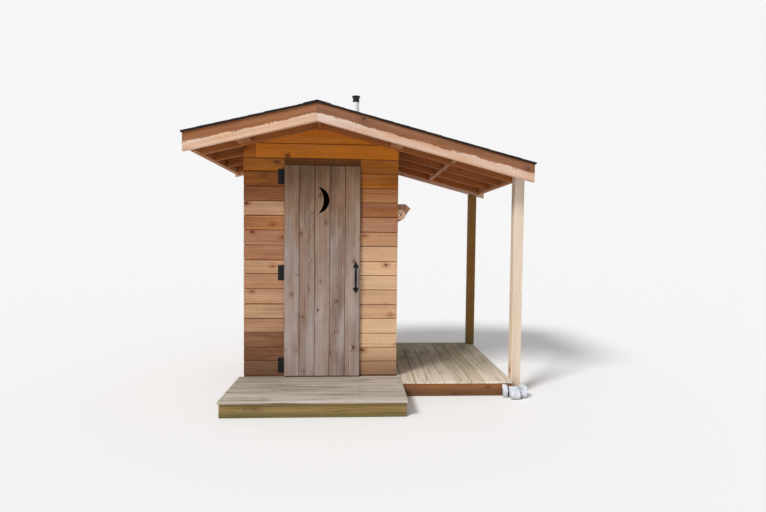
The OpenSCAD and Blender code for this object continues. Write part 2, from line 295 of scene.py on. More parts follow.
class Wire:  # one socket of a material, which sums and products can be written with
    def __init__(self, tree, node, out=0):
        self.tree, self.node, self.socket = tree, node, node.outputs[out]

    def out(self, name):
        return Wire(self.tree, self.node, name)

    def make(self, kind, settings={}, sockets={}, out=0):
        node = self.tree.nodes.new("ShaderNode" + kind)
        for key, value in settings.items():
            setattr(node, key, value)
        for key, value in sockets.items():
            if isinstance(value, Wire):
                self.tree.links.new(value.socket, node.inputs[key])
            else:
                node.inputs[key].default_value = value
        return Wire(self.tree, node, out)

    def maths(self, operation, a, b):
        return self.make("Math", {"operation": operation}, {0: a, 1: b})

    def __add__(self, other):
        return self.maths("ADD", self, other)

    def __sub__(self, other):
        return self.maths("SUBTRACT", self, other)

    def __mul__(self, other):
        return self.maths("MULTIPLY", self, other)

    def __rsub__(self, other):
        return self.maths("SUBTRACT", other, self)

    __radd__, __rmul__ = __add__, __mul__

    def rise(self, low, high):  # 0 below low, 1 above high, smooth between
        return self.make("MapRange", {"interpolation_type": "SMOOTHSTEP"},
                         {"Value": self, "From Min": low, "From Max": high})

    def scaled(self, *sizes):
        return self.make("VectorMath", {"operation": "MULTIPLY"}, {0: self, 1: sizes})

    def moved(self, other):
        return self.make("VectorMath", {"operation": "ADD"}, {0: self, 1: other})

    def noise(self, size, detail=2.0, rough=0.5):
        return self.make("TexNoise", {},
                         {"Vector": self, "Scale": size, "Detail": detail, "Roughness": rough})

    def between(self, a, b):  # colours a and b mixed by this share
        return self.make("Mix", {"data_type": "RGBA"}, {0: self, 6: a, 7: b}, 2)

    def split(self, kind="XYZ"):
        return self.make("Separate" + kind, {}, {0: self})

    def tint(self):  # the board's own shade
        return self.make("VertexColor", {"layer_name": "tint"}, out="Color")


print("camera, floor and light")
view = dict(place=(-0.0161, -4.5938, 1.428), turn=2.979, tip=2.182, lean=0.614, lens=21.415)
bpy.ops.object.camera_add()
camera = bpy.context.object
camera.data.lens = view["lens"]
camera.data.sensor_width = 36
camera.data.clip_end = 300
camera.matrix_world = (Matrix.Translation(view["place"])
                       @ Matrix.Rotation(-math.radians(view["turn"]), 4, "Z")
                       @ Matrix.Rotation(math.pi / 2 - math.radians(view["tip"]), 4, "X")
                       @ Matrix.Rotation(math.radians(view["lean"]), 4, "Z"))
scene.camera = camera
scene.view_settings.view_transform = "Standard"

studio = dict(keySide=46, keyHigh=44, keySoft=16, key=2.35, fill=0.47, floor=0.93, back=0.925)
side, high = math.radians(studio["keySide"]), math.radians(studio["keyHigh"])
toKey = Vector((-math.sin(side) * math.cos(high), -math.cos(side) * math.cos(high), math.sin(high)))
bpy.ops.object.light_add(type="SUN", location=toKey * 8, rotation=toKey.to_track_quat("Z", "Y").to_euler())
keyLight = bpy.context.object
keyLight.data.energy = studio["key"]
keyLight.data.angle = math.radians(studio["keySoft"])

world = bpy.data.worlds.new("studio")
scene.world = world
world.use_nodes = True
rays = Wire(world.node_tree, world.node_tree.nodes.new("ShaderNodeLightPath"), "Is Camera Ray")
shiny = rays.maths("MAXIMUM", rays.out("Is Glossy Ray"), rays.out("Is Transmission Ray"))
level = rays.make("MapRange", {}, {"Value": rays.maths("MAXIMUM", rays, shiny),
                                   "To Min": studio["fill"], "To Max": studio["back"]})
backdrop = world.node_tree.nodes["Background"]
backdrop.inputs["Color"].default_value = (1, 1, 1, 1)
world.node_tree.links.new(level.socket, backdrop.inputs["Strength"])

floor = added("floor", bpy.ops.mesh.primitive_plane_add, size=120, location=(0, 0, -0.0005))
pale = bpy.data.materials.new("floorPale")
pale.use_nodes = True
shader = pale.node_tree.nodes["Principled BSDF"]
shader.inputs["Base Color"].default_value = (*[studio["floor"]] * 3, 1)
shader.inputs["Roughness"].default_value = 0.9
shader.inputs["Specular IOR Level"].default_value = 0.1
floor.data.materials.append(pale)


def begin(name):  # a new material, its shader node and a wire with the object's coordinates
    material = bpy.data.materials.new(name)
    material.use_nodes = True
    tree = material.node_tree
    shader = tree.nodes["Principled BSDF"]
    spot = Wire(tree, tree.nodes.new("ShaderNodeTexCoord"), "Object")
    return material, shader, spot


def surface(shader, spot, base, rough, height, deep, strength=0.6, specular=0.3):
    links = spot.tree.links
    links.new(base.socket, shader.inputs["Base Color"])
    links.new(rough.make("Clamp", {}, {"Value": rough}).socket, shader.inputs["Roughness"])
    bump = spot.make("Bump", {}, {"Height": height, "Distance": deep, "Strength": strength})
    links.new(bump.socket, shader.inputs["Normal"])
    shader.inputs["Specular IOR Level"].default_value = specular


plainWood = dict(amber="C87A28", grey="9C9084", knot="4A2C1C", foot="5E402C", moss="7C8250", pale="D8CBB8",
                 shelter="", stain="", weather=0.2, streak=1.0, rings=0.3, wave=18, knots=0.4, knotCell=0.17,
                 patch=0.5, footHigh=0.0, mossFrom=0.0, mossTo=0.0, bleach=0.0, bleachLong=0.7,
                 sheltered=(0.46, 0.53), rough=0.72, deep=0.0012)


def shadeMix(figure, code):  # one colour, darker where the wood's figure is dark
    r, g, b, _ = colour(code)
    return figure.between((r * 0.28, g * 0.24, b * 0.22, 1), (r * 1.15, g * 1.12, b * 1.08, 1))


# Sawn and weathered wood. Boards made here carry the map "grain" and the shade "tint";
# a CAD node has neither, so its grain is told to run along X, Y or Z.
def woodMaterial(name, light, dark, red, run="", **changes):
    look = {**plainWood, **changes}
    material, shader, spot = begin(name)
    place = spot.split()
    if run:
        axes = {"X": ("X", "Z", "Y"), "Y": ("Y", "Z", "X"), "Z": ("Z", "X", "Y")}[run]
        u, v, deep = (place.out(a) for a in axes)
        v = v + deep * 0.83
        seed = spot.scaled(4, 4, 0.2).noise(1.0, 1.0)
        tone, reddish, amber = seed * 0.5 + 0.25, 0.4, 0.0
    else:
        grain = spot.make("UVMap", {"uv_map": "grain"})
        flat = grain.split()
        u, v = flat.out("X"), flat.out("Y")
        tint = spot.tint()
        parts = tint.split("Color")
        tone, reddish, seed = parts.out("Red"), parts.out("Green"), parts.out("Blue")
        amber = tint.out("Alpha")
    wood = spot.make("CombineXYZ", {}, {0: u, 1: v, 2: seed * 17.0})

    cell = wood.scaled(0.62 / look["knotCell"], 1 / look["knotCell"], 0.0).moved(wood.scaled(0, 0, 0.37))
    dots = cell.make("TexVoronoi", {"voronoi_dimensions": "2D"}, {"Vector": cell, "Scale": 1.0}, "Distance")
    lot = dots.out("Color").split("Color")
    kept = lot.out("Red").rise(0.98 - look["knots"], 1.0 - look["knots"])
    size = lot.out("Green") * lot.out("Green") * 0.055 + 0.012
    ragged = wood.scaled(26, 60, 1).noise(1.0, 3.0, 0.6) * 0.07 - 0.035
    away = dots + ragged - size
    knot = (1 - away.rise(-0.015, 0.02)) * kept
    halo = (1 - away.rise(0.0, 0.2)) * kept
    ring = (1 - away.rise(0.012, 0.05)) * kept - knot * 0.6

    wander = wood.scaled(1.3, 6, 1).noise(1.0, 2.0)
    rings = (v * 420.0 + wander * look["wave"] + halo * 9.0)
    rings = rings.make("Math", {"operation": "SINE"}, {0: rings}) * 0.5 + 0.5
    streak = wood.scaled(0.9, 34, 1).noise(1.0, 3.0, 0.65)
    broad = wood.scaled(2.4, 9, 1).noise(1.0, 3.0, 0.6)
    fibre = wood.scaled(9, 300, 1).noise(1.0, 3.0, 0.65)
    specks = wood.scaled(34, 95, 1).noise(1.0, 1.0).rise(0.715, 0.76)

    figure = (tone + (streak - 0.5) * look["streak"] + (rings - 0.5) * look["rings"] + (fibre - 0.5) * 0.42
              + (broad - 0.5) * look["patch"] - halo * 0.22 - ring * 0.3)
    base = figure.between(colour(dark), colour(light))
    warm = (reddish * (0.45 + streak * 0.7) + halo * 0.35) * 0.8
    base = warm.between(base, colour(red))
    bare = 1.0
    if look["shelter"]:  # painted shadow of the roof's edge: darker wood close under the roof, with a ragged lower edge; weathering and bleaching stay below it
        edge = wood.scaled(4, 11, 1).noise(1.0, 5.0, 0.75) * 0.5 - 0.25
        dry = (amber + edge).rise(*look["sheltered"]) * 0.9
        base = dry.between(base, shadeMix(figure, look["shelter"]))
        bare = 1 - dry
    elif not run:
        base = (amber * 0.95).between(base, shadeMix(figure, look["amber"]))
    worn = wood.scaled(1.3, 11, 1).noise(1.0, 4.0, 0.65).rise(0.42, 0.7) * look["weather"] * bare
    base = worn.between(base, colour(look["grey"]))
    # pale patches: partly sun-bleached wood, partly painted sunlight
    if look["bleach"]:
        sunned = wood.scaled(look["bleachLong"], 5, 1).noise(1.0, 3.0, 0.6).rise(0.4, 0.75)
        base = (sunned * look["bleach"] * bare).between(base, colour(look["pale"]))
    if look["stain"]:
        runs = wood.scaled(1.7, 42, 3).noise(1.0, 4.0, 0.7).rise(0.52, 0.68) * 0.75
        base = runs.between(base, colour(look["stain"]))
    # darker and greener towards the back: partly moss, partly painted shade under the roof
    if look["mossTo"]:
        green = place.out("Y").rise(look["mossFrom"], look["mossTo"]) * (broad * 0.9 + 0.2)
        base = green.between(base, colour(look["moss"]))
    if look["footHigh"]:
        damp = (1 - place.out("Z").rise(look["footHigh"] * 0.3, look["footHigh"])) * (broad * 0.7 + 0.25)
        base = damp.between(base, colour(look["foot"]))
    base = (knot * 0.85 + specks * 0.6).between(base, colour(look["knot"]))
    rough = look["rough"] + (fibre - 0.5) * 0.25 + worn * 0.2
    height = fibre * 0.5 + rings * 0.25 + knot * 0.35 + streak * 0.3
    surface(shader, spot, base, rough, height, look["deep"], specular=0.15)
    return material


def ironMaterial(name, base, rust, rough):
    material, shader, spot = begin(name)
    dents = spot.noise(70, 2.0)
    specks = spot.noise(260, 3.0)
    worn = specks.rise(0.58, 0.74) * 0.5
    tone = worn.between(colour(base), colour(rust))
    surface(shader, spot, tone, rough + dents * 0.25 + worn * 0.3, dents + specks * 0.25, 0.0012, 0.5, 0.5)
    shader.inputs["Metallic"].default_value = 0.6
    return material


def shingleMaterial(name):
    material, shader, spot = begin(name)
    tone = spot.tint().split("Color").out("Red")
    grit = spot.make("TexVoronoi", {}, {"Vector": spot, "Scale": 420.0}, "Color")
    grain = grit.split("Color").out("Red")
    cloud = spot.noise(5, 3.0)
    light = tone * 0.45 + grain * 0.5 + cloud * 0.4 - 0.25
    base = light.between(colour("211E1D"), colour("5A5552"))
    moss = spot.noise(3.2, 4.0, 0.65).rise(0.6, 0.75) * 0.35
    base = moss.between(base, colour("565A3C"))
    surface(shader, spot, base, 0.85 + grain * 0.12, grain, 0.0012, 0.8, 0.25)
    return material


def stoneMaterial(name):
    material, shader, spot = begin(name)
    cloud = spot.noise(16, 5.0, 0.6)
    specks = spot.noise(240, 3.0, 0.7)
    veins = spot.moved(spot.noise(9, 3.0).out("Color").scaled(0.06, 0.06, 0.06)).noise(40, 2.0)
    base = cloud.rise(0.3, 0.7).between(colour("BCC4CC"), colour("F3F6FB"))
    base = (specks.rise(0.56, 0.7) * 0.5).between(base, colour("77797A"))
    base = (veins.rise(0.6, 0.68) * 0.35).between(base, colour("8F8A80"))
    low = spot.split().out("Z")
    base = ((1 - low.rise(0.0, 0.05)) * 0.6).between(base, colour("7B6B58"))
    surface(shader, spot, base, 0.7 + specks * 0.25, cloud + specks * 0.3, 0.006, 0.7)
    return material


def plasticMaterial(name, base, grime, rough):
    material, shader, spot = begin(name)
    runs = spot.scaled(26, 26, 1.6).noise(1.0, 3.0).rise(0.5, 0.72)
    specks = spot.noise(300, 2.0)
    tone = (runs * 0.35 + specks.rise(0.62, 0.72) * 0.2).between(colour(base), colour(grime))
    surface(shader, spot, tone, rough + runs * 0.2 + specks * 0.1, specks, 0.0003, 0.4)
    return material


print("materials")
cedar = woodMaterial("cedarSiding", "E8C29A", "664029", "AE6A48", amber="D87E0C", foot="5C4230",
                     footHigh=0.45, weather=0.1, streak=0.6, rings=0.2, knots=0.36, knotCell=0.19)
# a darker copy of the siding cedar: painted shade for the recessed board above the door
headCedar = woodMaterial("headCedar", "8A541E", "442810", "6A3E1C", weather=0.05)
# the door's browner top is painted shadow of the roof
doorWood = woodMaterial("doorWood", "B8A494", "54423A", "8E6653", grey="9C9590", weather=0.5, bleach=0.4,
                        bleachLong=1.3, pale="C8C2BF", knots=0.42, knotCell=0.15, knot="4A322A", streak=1.0,
                        rings=0.5, wave=14, patch=0.9, shelter="876548", sheltered=(0.42, 0.95))
rafterWood = woodMaterial("rafterWood", "C47C3E", "6A3818", "984E2A", weather=0.06, knots=0.25)
blockWood = woodMaterial("blockWood", "CB9460", "80502E", "A0623C", weather=0.1)
# the barges' brown upper band is painted shadow of the roof's edge, and their pale colour is partly painted
# sunlight
bargeWood = woodMaterial("bargeWood", "EAC4A4", "B07A54", "C88A64", grey="D0BDB0", weather=0.25,
                         bleach=0.55, bleachLong=0.8, pale="EFE6E0", knots=0.3, knotCell=0.24,
                         shelter="92562A")
ceilingWood = woodMaterial("ceilingWood", "B87642", "6C3E20", "935230", weather=0.05, knots=0.2)
pinePale = woodMaterial("pinePale", "F2E6D4", "BEA284", "D6AC88", grey="DDD4C8", weather=0.35,
                        knots=0.16, knotCell=0.26, knot="8E6440")
# the back post's olive brown is darkened part of the way towards its shade: partly painted shade
pineOlive = woodMaterial("pineOlive", "9C7436", "583C1B", "96602C", weather=0.1, knots=0.2,
                         knotCell=0.26, foot="5A5A34", footHigh=0.45)
# the deck's pale front is partly painted sunlight, and its dark green rear partly painted shade
deckWood = woodMaterial("deckWood", "FBF1E2", "B8A184", "D2B694", grey="CEC6B4", weather=0.4,
                        moss="524F30", mossFrom=-0.65, mossTo=0.3, knots=0.16, knotCell=0.26, stain="7A6A52")
# the step's dark streaks and pale patches are partly painted dappled shade and sunlight
stepWood = woodMaterial("stepWood", "D0C6B8", "6C6052", "988670", grey="A49C90", weather=0.45,
                        knots=0.14, knotCell=0.28, streak=1.6, rings=0.5, wave=12, bleach=0.6, pale="E2DACE",
                        knot="4C443C", stain="453C34")
fasciaWood = woodMaterial("fasciaWood", "BA9E68", "685230", "8A6A3E", weather=0.2, grey="8C8362",
                          foot="565230", footHigh=0.07, knots=0.2, knotCell=0.3, stain="5C5432")
rimWood = woodMaterial("rimWood", "B07A48", "64402A", "8C5430", foot="4C3828", footHigh=0.1)
holderWood = woodMaterial("holderWood", "EFCBAC", "6A4630", "A66E4A", weather=0.1, knots=0.1)
floorWood = woodMaterial("floorWood", "C0976A", "7C5A3A", "96683F", weather=0.15)
ledgeWood = woodMaterial("ledgeWood", "C09A76", "7A5A42", "9A6C4C", weather=0.25)
studUp = woodMaterial("studUpright", "D8B482", "9A7248", "B0814E", run="Z", weather=0.05)
skidWood = woodMaterial("skidLumber", "9C8A5C", "5E5034", "7A6238", run="Y", weather=0.3)
bearerWood = woodMaterial("bearerLumber", "A8905E", "66543A", "84683E", run="X", weather=0.25)
iron = ironMaterial("wroughtIron", "151416", "3E261C", 0.5)
screwSteel = ironMaterial("screwSteel", "4A4744", "5C3C2A", 0.4)
shingles = shingleMaterial("roofShingles")
stone = stoneMaterial("paleStone")
pipeWhite = plasticMaterial("pipeWhite", "F6F7F9", "B4AFA2", 0.35)
capBlack = plasticMaterial("capBlack", "1A1C20", "3A3A38", 0.4)
dripBrown = plasticMaterial("dripBrown", "2E251E", "4A3A2C", 0.6)


print("walls")
siding = dict(thick=18, gap=4, vee=3.5, tongue=7, shoulder=5.5, long=1000, wide=130)
# Each stain is how light, how red and how amber a board is; on the front wall the pale lower right boards
# carry painted sunlight and the darker left and upper boards partly painted shade
stains = {"d": (0.08, 0.2, 0.0), "k": (0.16, 0.55, 0.42), "m": (0.14, 0.1, 0.85), "r": (0.32, 0.65, 0.0),
          "b": (0.26, 0.35, 0.5), "p": (0.4, 0.55, 0.0), "o": (0.46, 0.45, 0.12), "l": (0.56, 0.35, 0.08),
          "t": (0.52, 0.25, 0.05), "s": (0.84, 0.3, 0.0), "h": (0.9, 0.12, 0.02), "n": (0.72, 0.42, 0.0),
          "a": (0.3, 0.15, 0.95), "g": (0.64, 0.12, 1.0)}
leftCourses = [146, 281, 409, 549, 678, 813, 953, 1095, 1220, 1357, 1496, 1629, 1764, 1898, 2038, 2155]
leftStains = "dddpttolrrblkma"
rightCourses = [146, 276, 408, 540, 679, 810, 948, 1082, 1213, 1353, 1485, 1623, 1758, 1890, 2027, 2155]
rightStains = "nshhnnsssorkbaa"
plainRun = "ddbrotlrtorplbro"
gables = [(2155, 2290), (2290, 2425), (2425, 2560)]
gableJoint = (-598, -597)
left, right = -room["half"], room["half"]
behind = (180, (0, room["deep"]))  # how the back wall's boards are turned and placed


def plankMaster():  # one siding board with its eased front edges and its tongue
    half = siding["long"] / 2
    obj = box("plankMaster", (-half, half), (0, siding["thick"]), (0, siding["wide"]), 0)
    bevelled(obj, lambda e: lies(e, y=at(0, 0, 0).y) and sameIn(e), siding["vee"])
    edit(obj, lambda f: f.normal.z > 0.95)
    bpy.ops.mesh.inset(thickness=siding["shoulder"] / 1000, depth=0)
    bpy.ops.mesh.extrude_region_move(TRANSFORM_OT_translate={"value": (0, 0, siding["tongue"] / 1000)})
    done()
    return toOrigin(obj)


plank = plankMaster()


def sidingBoard(x, z, mark, turn=0.0, middle=(0, 0), tongue=True):
    # x runs along the wall from its middle, turn is about Z in degrees, middle is the wall's own
    obj = copyOf(plank)
    low, high = z[0] + siding["gap"] / 2, z[1] - siding["gap"] / 2
    for v in obj.data.vertices:
        v.co.x += (x[1] - siding["long"] / 2) / 1000 if v.co.x > 0 else (x[0] + siding["long"] / 2) / 1000
        if v.co.z > siding["wide"] / 2000:
            v.co.z += (high - low - siding["wide"]) / 1000
            if not tongue:
                v.co.z = min(v.co.z, (high - low) / 1000)
        v.co.z += low / 1000
    wall = Matrix.Rotation(math.radians(turn), 4, "Z")
    obj.data.transform(Matrix.Translation(at(middle[0], middle[1], 0)) @ wall)
    along, face = wall.to_3x3() @ rightward, wall.to_3x3() @ -inward
    tone, red, amber = stains[mark]
    grained(obj, along, face, near(tone, 0.06), near(red, 0.08), amber)
    return dirtyJoints(obj, face)


def gableBoard(z, mark, turn=0.0, middle=(0, 0), x=(left, right)):
    obj = sidingBoard(x, z, mark, turn, middle, z == gables[0])
    for way in (-1, 1):
        cut(obj, at(ridgeX, 0, ridgeLow + rafterHigh * 0.6), skyward(ridgeX + way))
    if z != gables[0]:  # notched round the ridge board
        carve(obj, box("notch", around(ridgeX, 20), around(middle[1], 40),
                       (under(ridgeX + 19), ridgeLow + 200), 0))
    return obj


front = [sidingBoard((left, right), (room["low"], leftCourses[0]), "d")]
for x, courses, run in (((left, room["doorway"][0]), leftCourses, leftStains),
                        ((room["doorway"][1], right), rightCourses, rightStains)):
    front += [sidingBoard(x, z, mark) for *z, mark in zip(courses, courses[1:], run)]
front += [sidingBoard(room["doorway"], (room["head"], room["high"]), "b"),
          gableBoard(gables[0], "a", x=(left, gableJoint[0])),
          gableBoard(gables[0], "g", x=(gableJoint[1], right)),
          gableBoard(gables[1], "g"), gableBoard(gables[2], "a")]
finished("frontSidingBoards", front, cedar, "cedar_siding", "front_siding")

back = [sidingBoard((left, right), z, mark, *behind)
        for *z, mark in zip([room["low"]] + leftCourses, leftCourses, plainRun)]
back += [gableBoard(z, mark, *behind) for z, mark in zip(gables, "otr")]
finished("backSidingBoards", back, cedar, "cedar_siding", "back_siding")
for way, name, courses, run in ((-1, "left", leftCourses, "ddrbtolotrpbotrl"),
                                (1, "right", rightCourses, "ddtlopthsotorlta")):
    x, turned = (-room["side"], room["side"]), (way * 90, (way * room["half"], room["deep"] / 2))
    boards = [sidingBoard(x, z, mark, *turned) for *z, mark in zip([room["low"]] + courses, courses, run)]
    boards.append(sidingBoard(x, (room["high"], under(way * room["half"])), "r", *turned, False))
    finished(name + "SidingBoards", boards, cedar, "cedar_siding", name + "_siding")
bpy.data.objects.remove(plank)

headBoard = box("headBoard", (-338, 360), (-6, -0.2), (2094, room["high"]), 1.2)
finished("headBoard", [grained(headBoard, rightward, -inward, 0.4)], headCedar, "cedar_siding", "head_board")


print("roof frame")


def roofPiece(x, y, low, along=None, face=-inward, ease=1.5, shade=None):  # runs down the slope if not told
    obj = slopedBoard("piece", x, y, low, rafterHigh, ease)
    tone, red = shade or (dice.uniform(0.35, 0.65), dice.uniform(0.3, 0.7))
    return grained(obj, along or downhill(sum(x) / 2), face, tone, red)


half = timber["thick"] / 2
for i, y in enumerate(timber["rows"]):
    low = 0 if i else rafterHigh - roof["gableRafter"] * stretch
    pair = [roofPiece(x, spanFrom(y), low)
            for x in ((timber["left"], ridgeX - half), (ridgeX + half, timber["right"]))]
    finished(f"rafterPair{i + 1}", pair, rafterWood, "rafter_lumber", f"rafter_pair_{i + 1}")

lowRidge = under(ridgeX + half)
ridge = box("ridgeBoard", around(ridgeX, half), timber["long"], (lowRidge, lowRidge + rafterHigh + 4))
for way in (-1, 1):
    cut(ridge, at(ridgeX, 0, ridgeLow + rafterHigh), skyward(ridgeX + way))
finished("ridgeBoard", [grained(ridge, inward, rightward)], rafterWood, "rafter_lumber", "ridge_board")


def heightShade(obj):  # the last part of the shade runs from 0 at a sloping board's foot to 1 at its top, placing the painted shadow of the roof's edge
    for v, shade in shadesOf(obj):
        x = v.co.x * 1000 + planMiddle["x"]
        shade.color[3] = (v.co.z * 1000 - under(x) - bargeLow) / (rafterHigh - bargeLow)
    return obj


for name, node, y in (("bargeFront", "barge_front", roof["front"]),
                      ("bargeBack", "barge_back", timber["long"][1])):
    pair = [roofPiece(x, spanFrom(y), bargeLow, ease=2, shade=shade)
            for x, *shade in (((roof["left"], ridgeX - 0.3), 0.7, 0.12),
                              ((ridgeX + 0.3, roof["right"]), 0.5, 0.45))]
    finished(name, [heightShade(obj) for obj in pair], bargeWood, "barge_lumber", node)


def blocking(name, node, slot, spans):  # what runs front to back between or beside the rafters
    parts = [roofPiece(x, y, 0, inward, upward if x[1] - x[0] > 100 else rightward) for x, y in spans]
    finished(name, parts, blockWood, slot, node)


nose = (timber["long"][0], timber["rows"][0])
blocking("lookouts", "lookouts", "rafter_lumber",
         [((-728, -618), nose), ((628, 738), nose), ((1180.9, 1218.9), nose)])
blocking("porchBlocking", "porch_blocking", "rafter_lumber",
         [((1168.9, 1206.9), (y + timber["thick"], nextY))
          for y, nextY in zip(timber["rows"], timber["rows"][1:])])
blocking("eaveBoard", "eave_board", "barge_lumber",
         [((timber["left"] - timber["thick"], timber["left"]), timber["long"])])
blocking("porchBeam", "porch_beam", "rafter_lumber",
         [(spanFrom(timber["right"]), (timber["rows"][0], timber["long"][1]))])


print("roof cover")
vent = dict(x=300, y=1020, wide=70, wall=3, rise=451, floor=149)
vent["top"] = ridgeLow + feltLow + 12 * stretch + vent["rise"]
ceiling = dict(wide=137, gap=1.5, slack=0.06, hole=vent["wide"] / 2 + 3)

for name, node, first, last in (("sheathingLeft", "sheathing_left", roof["left"], ridgeX),
                                ("sheathingRight", "sheathing_right", ridgeX, roof["right"])):
    boards = []
    count = math.ceil((last - first) / ceiling["wide"])
    wide = (last - first) / count
    for i in range(count):
        x = (first + i * wide + ceiling["gap"] / 2, first + (i + 1) * wide - ceiling["gap"] / 2)
        board = slopedBoard("board", x, (roof["front"], roof["back"]), rafterHigh + ceiling["slack"],
                            rafterHigh + boardingHigh - ceiling["slack"], 1.2)
        if x[0] < vent["x"] + ceiling["hole"] and x[1] > vent["x"] - ceiling["hole"]:
            carve(board, upright("hole", vent, 2300, 2800, ceiling["hole"], 40))
        boards.append(grained(board, inward, upward, dice.uniform(0.3, 0.7), dice.uniform(0.3, 0.7)))
    finished(name, boards, ceilingWood, "roof_boarding", node)

cover = dict(show=143, long=300, tab=300, slot=6, thick=3.4, lift=4.2, felt=2.0, drawn=3.2, starter=108,
             ragged=7, least=20, ridgeGap=10, lastCourse=60)


def tabMaster():  # one shingle tab, its butt edge at x = 0 and its top end up the slope
    obj = box("tabMaster", (-cover["long"], 0), (cover["slot"] / 2, cover["tab"] - cover["slot"] / 2),
              (0, cover["thick"]), 0)
    return toOrigin(bevelled(obj, lambda e: lies(e, x=at(0, 0, 0).x), 1.2))


tab = tabMaster()
frontEdge, backEdge = roof["front"] - roof["drip"], roof["back"] + roof["drip"]
for name, node, way, eaveX in (("shinglesLeft", "roofing_left", -1, roof["left"] - roof["sideDrip"]),
                               ("shinglesRight", "roofing_right", 1, roof["right"] + roof["sideDrip"])):
    stop = eaveX - way
    felt = slopedBoard("felt", sorted((stop, ridgeX + 0.5 * way)), (frontEdge + 5, backEdge - 5),
                       feltLow, feltLow + cover["felt"] * stretch, 0)
    starter = slopedBoard("starter", sorted((stop, stop - cover["starter"] * way)),
                          (frontEdge + 3, backEdge - 3), feltLow + cover["felt"] * stretch + 0.1,
                          feltLow + (cover["felt"] + cover["lift"]) * stretch - 0.4, 0.6)
    parts = [tinted(felt, 0.2, 0, 0, 1), tinted(starter, 0.2, 0, 0, 1)]
    down, up = downhill(eaveX), skyward(eaveX)
    run = abs(eaveX - ridgeX) / abs(down.x) - cover["drawn"]
    start = at(ridgeX, planMiddle["y"], ridgeLow + feltLow)
    for course in range(int((run - cover["lastCourse"]) // cover["show"]) + 1):
        butt = run - course * cover["show"] - dice.uniform(0, 1.5)
        longest = butt - cover["ridgeGap"]
        first = frontEdge - (cover["tab"] / 2 if course % 2 else 0)
        for i in range(math.ceil((backEdge - first) / cover["tab"])):
            piece = copyOf(tab)
            ragged = [dice.uniform(0, cover["ragged"]) for end in (0, 1)]
            for v in piece.data.vertices:
                y = v.co.y * 1000 + first + i * cover["tab"]
                v.co.y = min(max(y, frontEdge + ragged[0]), backEdge - ragged[1]) / 1000
                if longest < cover["long"] and v.co.x < -0.1:
                    v.co.x = -longest / 1000
                v.co.z += v.co.x * cover["lift"] / cover["long"] + (cover["felt"] + cover["lift"]) / 1000
            flat = [v.co.copy() for v in piece.data.vertices]
            if max(p.y for p in flat) - min(p.y for p in flat) < cover["least"] / 1000:
                bpy.data.objects.remove(piece)
                continue
            for v, p in zip(piece.data.vertices, flat):
                v.co = start + down * (butt / 1000 + p.x) + up * p.z + Vector((0, p.y + at(0, 0, 0).y, 0))
            if way < 0:
                piece.data.flip_normals()
            parts.append(tinted(piece, dice.uniform(0.1, 0.9), 0, 0, 1))
    finished(name, parts, shingles, "roofing_felt", node)
bpy.data.objects.remove(tab)

cap = dict(half=118, thick=3, lift=4, long=300, above=10.4, least=30, uneven=3)
capMaster = box("capMaster", (-cap["half"], cap["half"]), (0, cap["long"]), (0, cap["thick"]), 0.6)
sliced(capMaster, at(0, 0, 0), rightward)
for v in toOrigin(capMaster).data.vertices:
    v.co.z -= (slope if v.co.x > 0 else leftSlope) * abs(v.co.x)
caps = []
y = frontEdge
while y < backEdge - cap["least"]:
    piece = copyOf(capMaster)
    squeeze = dice.uniform(-cap["uneven"], 0) / 1000
    lift = cap["lift"] / 1000 if caps else 0  # the first lies on nothing but the shingles
    for v in piece.data.vertices:
        v.co.z += lift * (1 - v.co.y * 1000 / cap["long"])
        v.co.y = min(v.co.y + y / 1000, backEdge / 1000)
        v.co.x += squeeze if v.co.x > 0.05 else -squeeze if v.co.x < -0.05 else 0
        v.co += at(ridgeX, 0, ridgeLow + feltLow + cap["above"])
    caps.append(tinted(piece, dice.uniform(0.1, 0.9), 0, 0, 1))
    y += cover["show"]
finished("ridgeCapShingles", caps, shingles, "roofing_felt", "ridge_cap")
bpy.data.objects.remove(capMaster)

# Dark drip edge over the ends of the roof boarding, along both rakes and both eaves
edging = dict(thick=3, low=8, high=1.6, out=9)
strips = []
for x in ((roof["left"] - edging["out"], ridgeX), (ridgeX, roof["right"] + edging["out"])):
    for y in (roof["front"] - edging["thick"] - 0.3, roof["back"] + 0.3):
        strips.append(slopedBoard("strip", x, spanFrom(y, edging["thick"]), rafterHigh + edging["low"],
                                  feltLow + edging["high"], 0.6))
for x in (roof["left"] - edging["thick"] - 0.3, roof["right"] + 0.3):
    strips.append(slopedBoard("strip", spanFrom(x, edging["thick"]), (roof["front"], roof["back"]),
                              rafterHigh + edging["low"], feltLow + edging["high"], 0.6))
finished("dripEdge", strips, dripBrown, "roofing_felt")


print("posts")
posts = dict(thick=89, row=400)


def post(name, x, y, z, top, material, slot, node):
    # x and y are its near left edge, and its top is cut to the slope, top above the rafters' underside
    x, y = spanFrom(x, posts["thick"]), spanFrom(y, posts["thick"])
    obj = box(name, x, y, (z, under(x[0]) + top + 5), 4, 2)
    cut(obj, at(x[0], 0, under(x[0]) + top), Vector((slope, 0, 1)).normalized())
    sliced(obj, at(0, 0, posts["row"]), upward)
    finished(name, [grained(obj, upward, -inward, 0.6, 0.35)], material, slot, node)


post("frontPost", 1766, -127, 0, rafterHigh - 0.3, pinePale, "pale_post", "post_front")
post("backPost", 1687, 1286, 136, bargeLow, pineOlive, "dark_post", "post_back")

